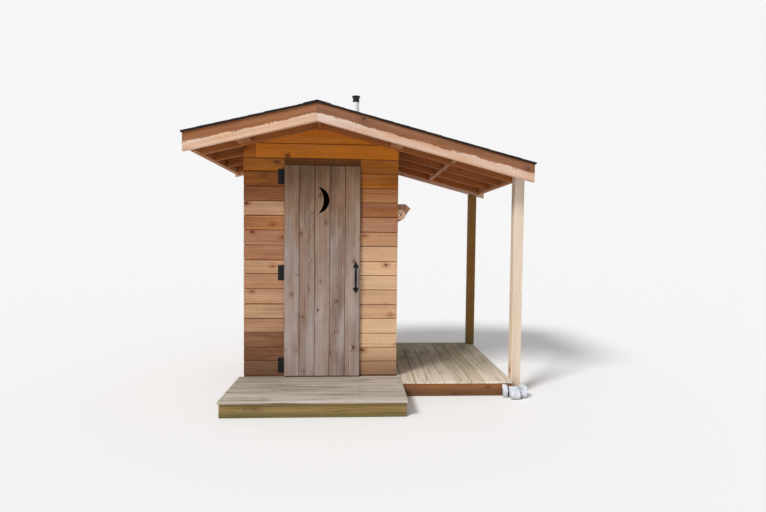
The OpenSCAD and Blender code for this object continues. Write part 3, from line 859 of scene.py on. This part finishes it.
rocks = [((1662, 1714), (-236, -182), 118, 3), ((1718, 1808), (-294, -196), 96, 8),
         ((1812, 1882), (-262, -166), 104, 5)]
roughness = bpy.data.textures.new("rockShape", "CLOUDS")
roughness.noise_scale = 0.06
stones = []
for x, y, z, seed in rocks:
    rock = box("rock", (x[0] + 3, x[1] - 3), (y[0] + 3, y[1] - 3), (0, z - 3), 9, 2)
    edited(rock, bpy.ops.mesh.subdivide, number_cuts=3, smoothness=0.1)
    applied(rock, "DISPLACE", texture=roughness, texture_coords="LOCAL", strength=0.02, mid_level=0.6)
    low, high = at(x[0], y[0], 0), at(x[1], y[1], z)
    dice.seed(seed)
    lean = dice.uniform(-0.16, 0.16), dice.uniform(-0.16, 0.16)
    for v in rock.data.vertices:
        v.co.z *= 1 + lean[0] * (v.co.x - low.x) / 0.1 + lean[1] * (v.co.y - low.y) / 0.1
        v.co = Vector(min(max(c, a), b) for c, a, b in zip(v.co, low, high))
    stones.append(rock)
finished("postStones", stones, stone, "pale_stone", "post_stones", smooth=60)


print("deck")
screwMaster = rod("screwMaster", Vector((0, 0, -0.002)), Vector((0, 0, 0.0009)), 4.2, 10, 0.7)


def screwAt(point, normal=upward, size=1.0, head=screwMaster):
    turn = Vector(normal).to_track_quat("Z", "Y").to_matrix().to_4x4()
    return copyOf(head, Matrix.Translation(point) @ turn @ Matrix.Scale(size, 4))


deck = dict(start=752, pitch=126.75, gap=4, count=8, front=-180, back=1375, top=136, thick=22,
            joists=[-172 + i * 1501 / 4 for i in range(5)], joist=38, sides=((756, 794), (1722, 1760)),
            sideLong=(-134, 1329), filler=(712, 748, 4), stub=714)
boards = [(*spanFrom(deck["start"] + i * deck["pitch"], deck["pitch"] - deck["gap"]), deck["front"])
          for i in range(deck["count"])]
boards.insert(0, deck["filler"])
planks, screws = [], []
for a, b, y in boards:
    board = box("board", (a, b), (y, deck["back"]), (deck["top"] - deck["thick"], deck["top"]), 3, 2)
    planks.append(grained(board, inward, upward, dice.uniform(0.4, 0.75), dice.uniform(0.15, 0.5)))
    for row in (joist + deck["joist"] / 2 for joist in deck["joists"]):
        if row > y and b - a > 60:
            screws += [screwAt(at(near(a + s * (b - a), 3), row, deck["top"])) for s in (0.2, 0.8)]
finished("deckPlanks", planks, deckWood, "deck_planks", "deck_boards")


def beam(name, x, y, high, along, face, red=0.5, ease=2, tone=0.5):  # stands on the ground
    return grained(box(name, x, y, (0, high), ease), along, face, tone, red)


top = deck["top"] - deck["thick"] - 0.1
(leftOut, leftIn), (rightIn, rightOut) = deck["sides"]
parts = []
for y in deck["joists"]:
    x = (leftOut, rightOut) if y in (deck["joists"][0], deck["joists"][-1]) else (leftIn, rightIn)
    parts.append(beam("rim", x, spanFrom(y, deck["joist"]), top, rightward, -inward))
for y in deck["joists"][1:]:
    parts.append(beam("stub", (deck["stub"], leftOut), spanFrom(y, deck["joist"]), top, rightward, -inward))
for x in deck["sides"]:
    parts.append(beam("rim", x, deck["sideLong"], top, inward, rightward))
finished("deckFrame", parts, rimWood, "treated_lumber", "deck_frame")


print("step")
step = dict(half=750, frame=744, deep=669.9, thick=28, top=136, middle=-348.4, round=9, under=11)
low = step["top"] - step["thick"]
long = (-step["half"], step["half"])
backBoard = box("backBoard", long, (step["middle"] + 2, -1), (low, step["top"]), 3, 2)
frontBoard = box("frontBoard", long, (-step["deep"], step["middle"] - 2), (low, step["top"]), 0)


def noseEdge(z):
    return lambda e: lies(e, y=at(0, -step["deep"], 0).y, z=z / 1000)


bevelled(frontBoard, noseEdge(step["top"]), step["round"], 4)
edited(frontBoard, bpy.ops.transform.translate, noseEdge(low), "EDGE", value=(0, 0, step["under"] / 1000))
treads = [grained(backBoard, rightward, upward, 0.5, 0.3), grained(frontBoard, rightward, upward, 0.6, 0.25)]
for x in (-731, -365, 0, 365, 731):
    for y in (-625, -520, -400, -300, -160, -25):
        screws.append(screwAt(at(near(x), y, step["top"])))
finished("stepTreads", treads, stepWood, "step_planks", "step_boards")
long = (-step["frame"], step["frame"])
fascia = [beam("fascia", long, y, low - 0.1, rightward, -inward, 0.3) for y in ((-646, -608), (-40, -2))]
for i in range(5):
    x = -step["frame"] + i * (2 * step["frame"] - timber["thick"]) / 4
    fascia.append(beam("bearer", spanFrom(x), (-608, -40), low - 0.1, inward, rightward, 0.3, 1, 0.45))
finished("stepFrame", fascia, fasciaWood, "step_fascia", "step_frame")
finished("deckScrews", screws, screwSteel, "black_iron")


print("nails")
nailed = dict(front=([-690, -352], [376, 690]), side=[37, 313, 590, 866, 1143],
              back=[-690, -582, -291, 0, 291, 582, 690], gable=[-582, -291, 0, 291, 582],
              barge=[-1118, -961, -708, -400, 300, 690, 1200, 1690], head=0.8, bargeHead=1.15, inset=32,
              clear=25, spread=13)
nailHead = rod("nailHead", Vector((0, 0, -0.001)), Vector((0, 0, 0.0009)), 4.2, 10)
bevelled(nailHead, lambda e: all(v.co.z > 0 for v in e.verts), 0.6)
nails = []


def nailPair(place, face, courses):
    # two nails in each board over one stud, where place gives the point at a height
    for low, high in zip(courses, courses[1:]):
        for z in (low + nailed["inset"], high - nailed["inset"]):
            if z < under(abs(place(z)[0])) - nailed["clear"]:
                nails.append(screwAt(at(*place(near(z, 5))), face, nailed["head"], nailHead))


gableCourses = [gables[0][0]] + [high for low, high in gables]
for xs, courses in zip(nailed["front"], (leftCourses, rightCourses)):
    for x in xs:
        nailPair(lambda z: (near(x), 0, z), -inward, courses)
for x in nailed["back"]:
    nailPair(lambda z: (near(x), room["deep"], z), inward, [room["low"]] + leftCourses)
for x in nailed["gable"]:
    nailPair(lambda z: (near(x), 0, z), -inward, gableCourses)
    nailPair(lambda z: (near(x), room["deep"], z), inward, gableCourses)
for way, courses in ((-1, leftCourses), (1, rightCourses)):
    for y in nailed["side"]:
        nailPair(lambda z: (way * room["half"], near(y), z), way * rightward, [room["low"]] + courses[:-1])
for x in nailed["barge"]:
    for y, face in ((roof["front"], -inward), (roof["back"], inward)):
        for push in (-nailed["spread"], nailed["spread"]):
            high = under(x + push) + bargeLow + (rafterHigh - bargeLow) * dice.uniform(0.42, 0.5)
            nails.append(screwAt(at(x + push, y, high), face, nailed["bargeHead"], nailHead))
finished("nails", nails, screwSteel, "black_iron")
bpy.data.objects.remove(nailHead)


print("vent")
pipeTop = vent["top"] - 70
pipe = upright("ventPipe", vent, vent["floor"], pipeTop + 20, vent["wide"] / 2)
edited(pipe, bpy.ops.mesh.delete, lambda f: abs(f.normal.z) > 0.9, type="FACE")
applied(pipe, "SOLIDIFY", thickness=vent["wall"] / 1000, offset=-1)
finished("ventPipe", [pipe], pipeWhite, "white_pipe", "vent_pipe", smooth=35)

hood = upright("hood", vent, pipeTop, vent["top"] - 5, vent["wide"] / 2 + 2)
sliced(hood, at(0, 0, vent["top"] - 26), upward)
axis = at(vent["x"], vent["y"], 0)
for v in hood.data.vertices:
    if v.co.z > (vent["top"] - 10) / 1000:
        v.co.xy = axis.xy + (v.co.xy - axis.xy) * 1.2
brim = upright("brim", vent, vent["top"] - 10, vent["top"], vent["wide"] / 2 + 12, ease=2.5)
finished("ventCap", [hood, brim], capBlack, "black_cap", "vent_cap", smooth=35)

boot = dict(half=75, foot=60, neck=38, rise=46)
seatZ = under(vent["x"]) + feltLow + 10.5
plate = slopedBoard("plate", around(vent["x"], boot["half"]), around(vent["y"], boot["half"]),
                    feltLow + cap["above"], feltLow + 12.2, 0.5)
sleeve = added("sleeve", bpy.ops.mesh.primitive_cone_add, vertices=40, radius1=boot["foot"] / 1000,
               radius2=boot["neck"] / 1000, depth=(boot["rise"] + 20) / 1000,
               location=at(vent["x"], vent["y"], seatZ + boot["rise"] / 2 - 10))
bevelled(sleeve, lambda e: all(v.co.z > (seatZ + boot["rise"] - 2) / 1000 for v in e.verts), 4, 3)
finished("ventBoot", [plate, sleeve], capBlack, "black_cap", smooth=35)


print("door")
door = dict(low=148, top=2088, front=-28, back=-3, edges=[-338, -199, -57, 80, 221, 360], vee=5,
            ledges=(328, 1001.6, 1928))
moon = dict(x=-28, z=1774, high=244, reach=102.5, bite=49.2)
doorShades = [(0.52, 0.5), (0.42, 0.55), (0.58, 0.6), (0.4, 0.3), (0.6, 0.25)]


def discOf(bulge):  # radius of the circle through both tips of the moon and bulge to the right of them
    return (moon["high"] ** 2 / 4 + bulge ** 2) / (2 * bulge)


def moonTool():
    discs = [axle("disc", moon["x"] + bulge - discOf(bulge), moon["z"], (-60, 30), discOf(bulge), 120)
             for bulge in (moon["reach"], moon["bite"])]
    carve(*discs)
    return discs[0]


planks = []
for a, b, (tone, red) in zip(door["edges"], door["edges"][1:], doorShades):
    board = box("board", (a + 0.2, b - 0.2), (door["front"], door["back"]), (door["low"], door["top"]), 0)
    face = at(0, door["front"], 0).y
    for lengthwise, size in ((True, door["vee"]), (False, 1.2)):
        bevelled(board, lambda e: lies(e, y=face) and sameIn(e, "x") == lengthwise, size)
    if a < moon["x"] < b:
        carve(board, moonTool())
    dirtyJoints(grained(board, upward, -inward, tone, red), -inward)
    # the last part of the shade is the height that places the painted roof shadow at the door's top
    for v, shade in shadesOf(board):
        shade.color[3] = (v.co.z * 1000 - door["low"]) / (door["top"] - door["low"])
    planks.append(board)
finished("doorPlanks", planks, doorWood, "door_planks", "door_boards", body="door")

ledges, doorScrews = [], []
for z in door["ledges"]:
    ledge = box("ledge", (-308, 330), (-2.9, 22), (z, z + 90), 4, 2)
    ledges.append(grained(ledge, rightward, inward, dice.uniform(0.4, 0.6), 0.4))
    for a, b in zip(door["edges"], door["edges"][1:]):
        for spot in ((0.3, 22), (0.7, 68)):
            x = min(max(a + spot[0] * (b - a), -295), 317)
            doorScrews.append(screwAt(at(x, 22, z + spot[1]), inward))
finished("doorLedges", ledges, ledgeWood, "door_planks", "door_ledges", body="door")
finished("ledgeScrews", doorScrews, screwSteel, "black_iron", body="door")


print("ironwork")
pull = dict(x=321, z=1064, plate=112, foot=100, thick=7.2)
spade = [(10, -30), (9, -21), (14, -19), (22, -20), (25.5, -12), (24, -2), (17, 8),
         (9, 16), (5.5, 27), (0, 40)]
parts = []
for way in (1, -1):
    outline = spade + [(-x, z) for x, z in spade[-2::-1]]
    plate = flatPlate("plate", [(pull["x"] + x, pull["z"] + way * (pull["plate"] + z)) for x, z in outline],
                      door["front"] - 3.9, 3.9)
    parts.append(eased(plate, door["front"] - 3.9, 1.2, 2))
    foot = at(pull["x"], door["front"] - 3, pull["z"] + way * pull["foot"])
    parts.append(rod("collar", foot, foot + Vector((0, -0.007, 0)), 11, 20, 1.5))
    for x, z in ((-15, -11), (15, -11), (0, 18)):
        spot = at(pull["x"] + x, door["front"] - 3.8, pull["z"] + way * (pull["plate"] + z))
        parts.append(screwAt(spot, -inward, 0.7))

bpy.ops.object.select_all(action="DESELECT")
bpy.ops.curve.primitive_bezier_curve_add()
grip = bpy.context.object
grip.data.dimensions = "3D"
grip.data.bevel_depth = pull["thick"] / 1000
grip.data.bevel_resolution = 5
grip.data.resolution_u = 8
grip.data.use_fill_caps = True
path = [(0, 100, 1.0), (20, 99, 0.9), (29, 84, 0.95), (31, 40, 1.15), (31, 0, 1.25), (31, -40, 1.15),
        (29, -84, 0.95), (20, -99, 0.9), (0, -100, 1.0)]
line = grip.data.splines[0]
line.bezier_points.add(len(path) - 2)
for knot, (out, z, thick) in zip(line.bezier_points, path):
    knot.co = at(pull["x"], door["front"] - 1 - out, pull["z"] + z)
    knot.handle_left_type = knot.handle_right_type = "AUTO"
    knot.radius = thick
bpy.ops.object.convert(target="MESH")
bar = settle(bpy.context.object, "grip")
middle = at(pull["x"], 0, 0).x
for v in bar.data.vertices:
    v.co.x = middle + (v.co.x - middle) * 1.35
parts.append(bar)
finished("doorPull", parts, iron, "black_iron", "door_pull", body="door", smooth=40)

hinge = dict(x=-348, y=-8, high=140, leaf=48, knuckle=7, slack=0.5, strap=-338,
             screws=((-30, 22), (-22, 70), (-30, 118)), lows=(174, 1034.58, 1916))
third = hinge["high"] / 3
wallLeaves, doorLeaves = [], []
for z in hinge["lows"]:
    top = z + hinge["high"]
    leaf = box("leaf", (hinge["x"] - hinge["leaf"], hinge["x"]), (-3, 0), (z, top), 0)
    outer = at(hinge["x"] - hinge["leaf"], 0, 0).x
    wallLeaves.append(bevelled(leaf, lambda e: lies(e, x=outer) and sameIn(e), 6, 4))
    for span in ((z, z + third), (z + 2 * third, top)):
        wallLeaves.append(upright("knuckle", hinge, *span, hinge["knuckle"], 24, 1))
    wallLeaves.append(upright("pinHead", hinge, top, top + 3, 5, 16, 1.2))
    wallLeaves += [screwAt(at(hinge["x"] + x, -3, z + up), -inward) for x, up in hinge["screws"]]
    inner = (z + third + hinge["slack"], z + 2 * third - hinge["slack"])
    doorLeaves += [upright("knuckle", hinge, *inner, hinge["knuckle"], 24, 0.8),
                   box("strap", (hinge["x"], hinge["strap"]), (hinge["y"] - 2, hinge["y"] + 2), inner, 0.3),
                   box("doorLeaf", (hinge["strap"] - 2, hinge["strap"]), (-27, -4), (z, top), 0.4)]
finished("hingeWallLeaves", wallLeaves, iron, "black_iron", "hinge_wall_leaves", smooth=40)
finished("hingeDoorLeaves", doorLeaves, iron, "black_iron", "hinge_door_leaves", body="door", smooth=40)
bpy.data.objects.remove(screwMaster)


print("roll holder and inside")
holder = dict(low=1588, y=90, wide=150, arm=18, bore=24, boss=50, bar=13, borePlace=(738, 1655),
              barPlace=(785, 1688))
armShape = [(0, 0), (40, 14), (74, 49), (104, 97), (128, 127), (80, 169), (0, 169)]
parts = [grained(box("back", (right, right + 18), (holder["y"] + 1, holder["y"] + holder["wide"] - 1),
                     (holder["low"] + 12, holder["low"] + 157), 2), inward, rightward, 0.45, 0.5)]
for y in (holder["y"], holder["y"] + holder["wide"] - holder["arm"]):
    arm = flatPlate("arm", [(right + x, holder["low"] + z) for x, z in armShape], y, holder["arm"])
    eased(arm, y, 1.5)
    through(arm, *holder["borePlace"], holder["bore"] / 2, (y - 5, y + holder["arm"] + 5))
    parts.append(grained(arm, upward, -inward, 0.3, 0.5))
boss = axle("boss", *holder["borePlace"], (holder["y"] - 6, holder["y"] + 0.5), holder["boss"], 48, 1.5)
cut(boss, at(right, 0, 0), -rightward)
through(boss, *holder["borePlace"], holder["bore"] / 2, (holder["y"] - 12, holder["y"] + 5))
parts.append(grained(boss, upward, -inward, 1.3, 0.0))
dowel = axle("dowel", *holder["barPlace"], (holder["y"] + 8, holder["y"] + holder["wide"] - 8),
             holder["bar"], ease=1)
parts.append(grained(dowel, inward, rightward, 0.5, 0.3))
finished("rollHolder", parts, holderWood, "holder_wood", "roll_holder", smooth=30)

inside = dict(count=8, front=18, back=1162, half=690, z=(127, 149), gap=1.6)
wide = (inside["back"] - inside["front"]) / inside["count"]
boards = []
for i in range(inside["count"]):
    y = [inside["front"] + (i + end) * wide + (0.5 - end) * inside["gap"] for end in (0, 1)]
    board = box("board", (-inside["half"], inside["half"]), y, inside["z"])
    boards.append(grained(board, rightward, upward, dice.uniform(0.35, 0.65), dice.uniform(0.3, 0.6)))
finished("floorPlanks", boards, floorWood, "floor_planks", "floor_boards")

nodeWoods = dict.fromkeys(("left_studs", "right_studs", "back_studs", "front_frame", "door_lining"), studUp)
nodeWoods.update(floor_skids=skidWood, floor_frame=bearerWood)
for name, wood in nodeWoods.items():
    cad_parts[name].data.materials.clear()
    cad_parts[name].data.materials.append(wood)
